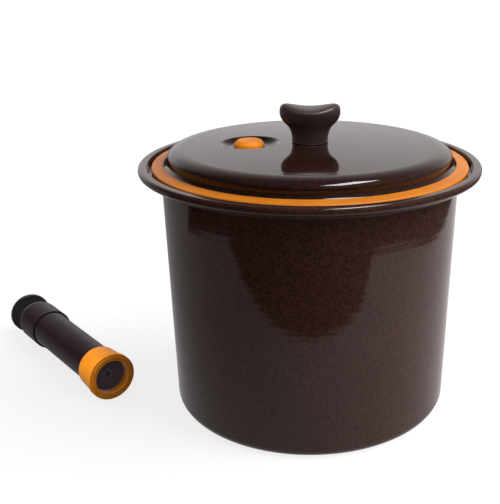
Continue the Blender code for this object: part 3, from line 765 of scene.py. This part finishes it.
def lid_top_z(x, y):
    """The lid's upper side: the dome, and in it the valve's dish, a flat landing with a small step up
    to a bowl."""
    dome = dome_z(math.hypot(x, y))
    out = math.hypot(x - VALVE_X, y)
    if out > DISH_BLEND_R:
        return dome
    share = max(0.0, (out - LANDING_R) / (DISH_R - LANDING_R))
    landing = min(1.0, max(0.0, (out - LANDING_R) / LANDING_RISE + 0.5)) * LANDING_RISE
    rise = DISH_DEPTH * BOWL_RISE_SHARE * share**BOWL_POWER
    bowl = dome_z(-VALVE_X) - DISH_DEPTH + landing + rise
    return soft_min(dome, bowl, DISH_BLEND)


def lid_under_z(x, y):
    """The lid's lower side: a wall below the dome, and the thicker pad under the seat."""
    under = dome_z(math.hypot(x, y)) - LID_WALL
    out = math.hypot(x - VALVE_X, y)
    if out > DISH_BLEND_R:
        return under
    pad_z = dome_z(-VALVE_X) - DISH_DEPTH - DISH_PLATE
    pad_top = dome_z(-VALVE_X) - DISH_PAD_TOP
    share = max(0.0, (out - DISH_PAD_R) / DISH_PAD_FLARE)
    return soft_min(under, pad_z + (pad_top - pad_z) * share, PAD_BLEND)


def lid_plan():
    """The plan that both sides of the lid's dome share: points on rings round the lid's axis and the
    valve's, the triangles between them, and where in the list the edge and the two holes are."""
    points = []

    def ring(centre_x, radius, count, keep=lambda x, y: True):
        start = len(points)
        for a in all_round(count):
            x, y = centre_x + radius * math.cos(a), radius * math.sin(a)
            if keep(x, y):
                points.append(Vector((x, y)))
        return list(range(start, len(points)))

    def clear_of_dish(x, y):
        return math.hypot(x - VALVE_X, y) > DISH_BLEND_R + BLEND_CLEAR

    edge = ring(0, DOME_R, STEPS_WIDE)
    screw_hole = ring(0, SCREW_HOLE_R, SCREW_HOLE_POINTS)
    valve_hole = ring(VALVE_X, VALVE_HOLE_R, VALVE_HOLE_POINTS)
    dome = along(DOME_R - DOME_FIRST_INSET, DOME_MIDDLE_R, DOME_STEP)
    dome += along(DOME_MIDDLE_R, DOME_LAST_R, DOME_MIDDLE_STEP)
    for radius in dome:
        count = int(min(STEPS_WIDE, max(FEWEST_POINTS, 2 * math.pi * radius / POINT_SPACING)))
        ring(0, radius, count, clear_of_dish)
    landing_low, landing_high = LANDING_R - LANDING_EDGE, LANDING_R + LANDING_EDGE
    bowl_end = DISH_R + BOWL_OVERRUN
    seat = along(SEAT_FIRST_R, landing_low, SEAT_STEP)
    seat += along(landing_low, landing_high, LANDING_EDGE)
    seat += along(landing_high, bowl_end, BOWL_STEP)
    seat += along(bowl_end, DISH_BLEND_R, BLEND_STEP)
    for radius in seat:
        ring(VALVE_X, radius, LANDING_POINTS if radius < LANDING_R - FINE_RING_INSET else BOWL_POINTS)
    plan, _, triangles, *_ = delaunay_2d_cdt(points, [], [], 0, TINY)
    if len(plan) != len(points):
        raise ValueError("the lid's plan has points that fall together")

    def outside_holes(face):
        x = sum(plan[i].x for i in face) / 3
        y = sum(plan[i].y for i in face) / 3
        return math.hypot(x, y) > SCREW_HOLE_R and math.hypot(x - VALVE_X, y) > VALVE_HOLE_R

    kept = [face for face in triangles if outside_holes(face)]
    return plan, kept, edge, (screw_hole, valve_hole)


def skirt_profile():
    """The lid's section outside its dome: over the shoulder, down to the flange and back up inside."""
    centre = (DOME_R, LID_EDGE_Z)
    outer = LID_EDGE_R - DOME_R
    inner = LID_EDGE_R - LID_WALL - DOME_R
    drop = dome_z(DOME_R) - LID_EDGE_Z
    skirt_foot = LID_EDGE_R - SKIRT_DRAFT
    skirt_top_z = LID_EDGE_Z - ARC_RUN
    shoulder = arc(centre, outer, 90, 0, SHOULDER_STEPS, drop / outer)[1:]
    skirt = [(LID_EDGE_R - SKIRT_DRAFT / 4, skirt_top_z), (skirt_foot, FLANGE_TOP_Z, SKIRT_FILLET)]
    skirt += [(FLANGE_R, FLANGE_TOP_Z, EDGE_BROKEN), (FLANGE_R, FLANGE_Z, EDGE_BROKEN)]
    skirt += [(skirt_foot - LID_WALL, FLANGE_Z, EDGE_SOFT), (LID_EDGE_R - LID_WALL, skirt_top_z)]
    hollow = arc(centre, inner, 0, 90, HOLLOW_STEPS, (drop - LID_WALL) / inner)[:-1]
    return shoulder + rounded(skirt, points=8) + hollow


def lid(surface):
    """The dome's two sides over one plan, joined at its holes, and the turned skirt round it."""
    plan, triangles, edge, holes = lid_plan()
    shape = bmesh.new()
    sides = []
    for height in (lid_top_z, lid_under_z):
        sides.append([shape.verts.new((p.x, p.y, height(p.x, p.y))) for p in plan])
        for face in triangles:
            shape.faces.new([sides[-1][i] for i in face])
    top, under = sides
    for hole in holes:
        bridge(shape, [top[i] for i in hole], [under[i] for i in hole])
    rings = lathe(shape, skirt_profile(), STEPS_WIDE, closed=False)
    bridge(shape, [top[i] for i in edge], rings[0])
    bridge(shape, rings[-1], [under[i] for i in edge])
    finished("enamelled_lid", shape, surface, "lid", ["lid_shell"])


def gasket(surface):
    """The ring whose U section grips the lid's flange."""
    groove_top = FLANGE_TOP_Z + GAP
    groove_r = FLANGE_R + GAP
    crown = groove_top + GASKET_LIP
    low = FLANGE_Z - GAP
    corners = [(GASKET_HEEL_R, crown + GASKET_HEEL, GASKET_HEEL_ROUND)]
    corners += [(GASKET_R, crown - GASKET_FALL, GASKET_ROUND), (GASKET_R, GASKET_Z, GASKET_ROUND)]
    corners += [(GASKET_INNER_R, GASKET_Z, EDGE_SMALL), (GASKET_INNER_R, low, EDGE_FINE)]
    corners += [(groove_r, low, EDGE_CRISP), (groove_r, groove_top, EDGE_CRISP)]
    corners += [(GASKET_HEEL_R, groove_top, EDGE_CRISP)]
    profile = rounded(corners, closed=True, points=8)
    turned("silicone_gasket", profile, STEPS_WIDE, surface, "lid", ["lid_gasket"])


# Knob and valve

def smooth_curve(positions, values, at):
    """A smooth curve through the values at the positions, read at the places in at."""
    x, y = np.array(positions, float), np.array(values, float)
    slopes = np.gradient(y, x)
    slopes[-1] = 0
    made = []
    for place_at in at:
        i = int(min(len(x) - 2, max(0, np.searchsorted(x, place_at) - 1)))
        width = x[i + 1] - x[i]
        t = (place_at - x[i]) / width
        low = y[i] * (1 + 2 * t) * (1 - t) ** 2 + slopes[i] * width * t * (1 - t) ** 2
        high = y[i + 1] * t * t * (3 - 2 * t) + slopes[i + 1] * width * t * t * (t - 1)
        made.append(low + high)
    return made


def knob(surface):
    """The saddle grip, from its screw bore outwards over the foot, up the neck and in over the top."""
    foot_z = LID_CROWN_Z + GAP
    turns = all_round(KNOB_STEPS)
    shape = bmesh.new()

    def ring(half_width, half_depth, height, lift=0.0):
        """A row of the grip, lifted by that share of the saddle's rise above its widest row."""
        row = []
        for a in turns:
            x, y = half_width * math.cos(a), half_depth * math.sin(a)
            rise = KNOB_DIP - KNOB_WIDEST + KNOB_LOBE_RISE * (x / KNOB_LOBE_X) ** 2
            row.append(shape.verts.new((x, y, height + rise * lift)))
        return row

    def spread(flare):
        """Half the grip's width and half its depth, where it has flared by that share."""
        return [KNOB_NECK_R + (half - KNOB_NECK_R) * flare for half in (KNOB_HALF_WIDTH, KNOB_HALF_DEPTH)]

    bore_mouth = KNOB_BORE_R + KNOB_BORE_CHAMFER
    rows = [[shape.verts.new((0, 0, foot_z + KNOB_BORE_DEPTH))]]
    rows.append(ring(KNOB_BORE_R, KNOB_BORE_R, foot_z + KNOB_BORE_DEPTH))
    rows.append(ring(KNOB_BORE_R, KNOB_BORE_R, foot_z + KNOB_BORE_CHAMFER))
    rows.append(ring(bore_mouth, bore_mouth, foot_z))
    heights = [i / KNOB_ROWS for i in range(KNOB_ROWS + 1)]
    flares = smooth_curve(KNOB_HEIGHT_SHARES, KNOB_FLARE_SHARES, heights)
    half_width, half_depth = spread(flares[0])
    for i in range(KNOB_FOOT_ROWS):
        a = math.radians(90 * i / KNOB_FOOT_ROWS)
        inset = KNOB_FOOT_ROUND * (1 - math.sin(a))
        rise = KNOB_FOOT_ROUND * (1 - math.cos(a))
        rows.append(ring(half_width - inset, half_depth - inset, foot_z + rise))
    for height, flare in zip(heights, flares):
        rows.append(ring(*spread(flare), foot_z + max(KNOB_WIDEST * height, KNOB_FOOT_ROUND)))
    for i in range(1, KNOB_TOP_ROWS):
        a = math.radians(90 * i / KNOB_TOP_ROWS)
        inward, lift = math.cos(a) ** KNOB_BULGE_POWER, math.sin(a) ** KNOB_BULGE_POWER
        rows.append(ring(KNOB_HALF_WIDTH * inward, KNOB_HALF_DEPTH * inward, foot_z + KNOB_WIDEST, lift))
    rows.append([shape.verts.new((0, 0, foot_z + KNOB_DIP))])
    for low, high in zip(rows, rows[1:]):
        bridge(shape, low, high)
    finished("saddle_knob", shape, surface, "lid", ["knob_grip"])


def button(surface):
    """The valve's button, from the middle of its top to the end of its stem under the lid."""
    floor_z = dome_z(-VALVE_X) - DISH_DEPTH
    base_z = floor_z + GAP
    top_z = base_z + BUTTON_HEIGHT
    recess_z = base_z + VALVE_SEAL_THICK + GAP
    retainer_top = floor_z - DISH_PLATE - VALVE_LIFT - GAP
    groove_end = retainer_top - RETAINER_THICK - GAP
    stem_end = groove_end - VALVE_STEM_END
    corners = [(0, top_z), (BUTTON_TOP_R, top_z, BUTTON_TOP_ROUND)]
    corners += [(BUTTON_R, base_z + BUTTON_SKIRT, BUTTON_SIDE_ROUND), (BUTTON_R, base_z, EDGE_CRISP)]
    corners += [(BUTTON_RECESS_R, base_z, EDGE_CRISP), (BUTTON_RECESS_R, recess_z, EDGE_CRISP)]
    corners += [(VALVE_STEM_R, recess_z, EDGE_FINE), (VALVE_STEM_R, retainer_top + GAP, EDGE_HAIR)]
    corners += [(VALVE_GROOVE_R, retainer_top + GAP), (VALVE_GROOVE_R, groove_end)]
    corners += [(VALVE_STEM_R, groove_end, EDGE_HAIR), (VALVE_STEM_R, stem_end, EDGE_FINE), (0, stem_end)]
    turned("valve_knob", rounded(corners), STEPS_SMALL, surface, "valve", ["valve_button"],
           closed=False, matrix=Matrix.Translation((VALVE_X, 0, 0)))


# Pump

def pump_place():
    """The matrix that lays the pump down: its +Z becomes the axis from mouth to disc."""
    disc_s = DISC_END - DISC_EDGE
    tilt = math.atan2(MOUTH_LIP_R - DISC_R, disc_s - MOUTH_LIP)
    height = MOUTH_LIP_R * math.cos(tilt) + MOUTH_LIP * math.sin(tilt)
    way = Vector((-math.cos(PUMP_TURN), math.sin(PUMP_TURN), -math.tan(tilt))).normalized()
    side = Vector((-way.y, way.x, 0)).normalized()
    turn = Matrix((side.cross(way), side, way)).transposed().to_4x4()
    return Matrix.Translation((PUMP_MOUTH_X, PUMP_MOUTH_Y, height)) @ turn


def mouth_profile():
    neck_r = MOUTH_LIP_R - MOUTH_STEP
    face_r = MOUTH_FACE_R + MOUTH_FACE_STEP
    corners = [(SOCKET_R, MOUTH_LENGTH, EDGE_FINE), (MOUTH_BACK_R, MOUTH_LENGTH, EDGE_SOFT)]
    corners += [(neck_r, MOUTH_LIP + MOUTH_STEP, EDGE_SMALL), (MOUTH_LIP_R, MOUTH_LIP, EDGE_FINE)]
    corners += [(MOUTH_LIP_R, MOUTH_STEP, EDGE_EASED), (face_r, MOUTH_STEP, EDGE_FINE)]
    corners += [(MOUTH_FACE_R, 0, EDGE_FINE), (MOUTH_BORE_R, 0, EDGE_EASED)]
    corners += [(MOUTH_BORE_R, MOUTH_RECESS, EDGE_FINE), (SOCKET_R, MOUTH_RECESS, EDGE_FINE)]
    return rounded(corners, closed=True)


def barrel_profile():
    corners = [(BARREL_BORE_R, BARREL_S, EDGE_FINE), (BARREL_R, BARREL_S, EDGE_SMALL)]
    corners += [(BARREL_R, BARREL_END, EDGE_SMALL), (BARREL_BORE_R, BARREL_END, EDGE_FINE)]
    return rounded(corners, closed=True)


def cap_profile():
    bush_r = BUSH_R + GAP
    dome_r = CAP_R - NOSE_R
    lip_s = NOSE_END - NOSE_LIP
    corners = [(CAP_R, CAP_DOME_S - ARC_RUN), (CAP_R, CAP_S, EDGE_FULL), (SOCKET_R, CAP_S, EDGE_FINE)]
    corners += [(SOCKET_R, CAP_SHOULDER_S), (CAP_INNER_R, CAP_SHOULDER_S)]
    corners += [(CAP_INNER_R, CAP_DOME_S, CAP_INNER_ROUND), (bush_r, BUSH_S - GAP, EDGE_FINE)]
    corners += [(bush_r, lip_s, EDGE_CRISP), (ROD_HOLE_R, lip_s, EDGE_CRISP)]
    corners += [(ROD_HOLE_R, NOSE_END - EDGE_HAIR)]
    dome = arc((NOSE_R, CAP_DOME_S), dome_r, 90, 0, CAP_DOME_STEPS, CAP_DOME / dome_r)
    return [(ROD_HOLE_R, NOSE_END), *dome, *rounded(corners)]


def disc_profile():
    bore_r = ROD_R + GAP
    corners = [(0, DISC_END - DISC_DISH), (HUB_R, DISC_END - DISC_DISH, DISC_DISH_ROUND)]
    corners += [(DISC_R, DISC_END, EDGE_FULL), (DISC_R, DISC_S + DISC_DISH, EDGE_FULL)]
    corners += [(HUB_R, DISC_S, HUB_ROUND), (HUB_R, DISC_S - HUB_LENGTH, EDGE_SOFT)]
    corners += [(bore_r, DISC_S - HUB_LENGTH, EDGE_CRISP), (bore_r, DISC_S + DISC_BORE_DEPTH, EDGE_CRISP)]
    return rounded(corners + [(0, DISC_S + DISC_BORE_DEPTH)])


def rod_profile():
    corners = [(0, ROD_END), (ROD_R, ROD_END, EDGE_SMALL), (ROD_R, ROD_S, EDGE_SMALL)]
    corners += [(ROD_BORE_R, ROD_S, EDGE_CRISP), (ROD_BORE_R, ROD_S + ROD_BORE_DEPTH, EDGE_FINE)]
    return rounded(corners + [(0, ROD_S + ROD_BORE_DEPTH)])


def pump(brown, black, orange):
    """The pump's pieces that show, turned about its own axis and laid down."""
    matrix = pump_place()
    rows = (
        ("pump_mouth", mouth_profile(), orange, "pump", "orange_silicone", "pump_mouth_ring", True),
        ("pump_tube", barrel_profile(), brown, "pump", "pump_brown", "pump_barrel", True),
        ("pump_end_cap", cap_profile(), brown, "pump", "pump_brown", "pump_cap", True),
        ("push_disc", disc_profile(), black, "plunger", "pump_black", "plunger_disc", False),
        ("push_rod", rod_profile(), black, "plunger", "pump_black", "plunger_rod", False),
    )
    for name, profile, surface, body, slot, node, closed in rows:
        turned(name, profile, STEPS_SMALL, surface, body, [node], closed, matrix)


# Whole scene

def carried_over(surface, *names):
    """Gives the material to CAD nodes that stay as they are."""
    for name in names:
        node = frame["nodes"][name]
        node.data.materials.clear()
        node.data.materials.append(surface)


def main():
    stage()
    pot_enamel = enamel("enamel_brown", tone=1.0)
    # The lid's enamel is the pot's, darkened by its tone: painted shade, as its upward faces catch more light
    # than the pot's walls.
    lid_enamel_shaded = enamel("enamel_lid_shaded", tone=0.56)
    gasket_orange = silicone("silicone_orange", GASKET_ORANGES, rough=0.40, specular=0.35)
    button_orange = silicone("plastic_orange", BUTTON_ORANGES, rough=0.40, specular=0.14)
    mouth_orange = silicone("mouth_orange", MOUTH_ORANGES, rough=0.42, specular=0.3)
    grip_brown = plastic("phenolic_brown", GRIP_BROWNS, rough=0.36)
    tube_brown = plastic("tube_brown", TUBE_BROWNS, rough=0.32, specular=0.20)
    disc_black = plastic("disc_black", DISC_BLACKS, rough=0.36)
    plate_brown = plastic("plate_brown", PLATE_BROWNS, rough=0.42)
    rubber_black = plastic("rubber_dark", RUBBER_BLACKS, rough=0.62, depth=RUBBER_DEPTH)
    seal_grey = silicone("silicone_pale", SEAL_GREYS, rough=0.45)
    turned_steel = steel()
    pot(pot_enamel)
    lid(lid_enamel_shaded)
    gasket(gasket_orange)
    knob(grip_brown)
    button(button_orange)
    pump(tube_brown, disc_black, mouth_orange)
    carried_over(turned_steel, "knob_washer", "knob_screw", "piston_screw")
    carried_over(seal_grey, "knob_seal", "valve_seal", "valve_retainer")
    carried_over(rubber_black, "inlet_valve", "piston_seal")
    carried_over(plate_brown, "inlet_plate")
    carried_over(disc_black, "rod_bush", "piston")
    own_lights()


main()
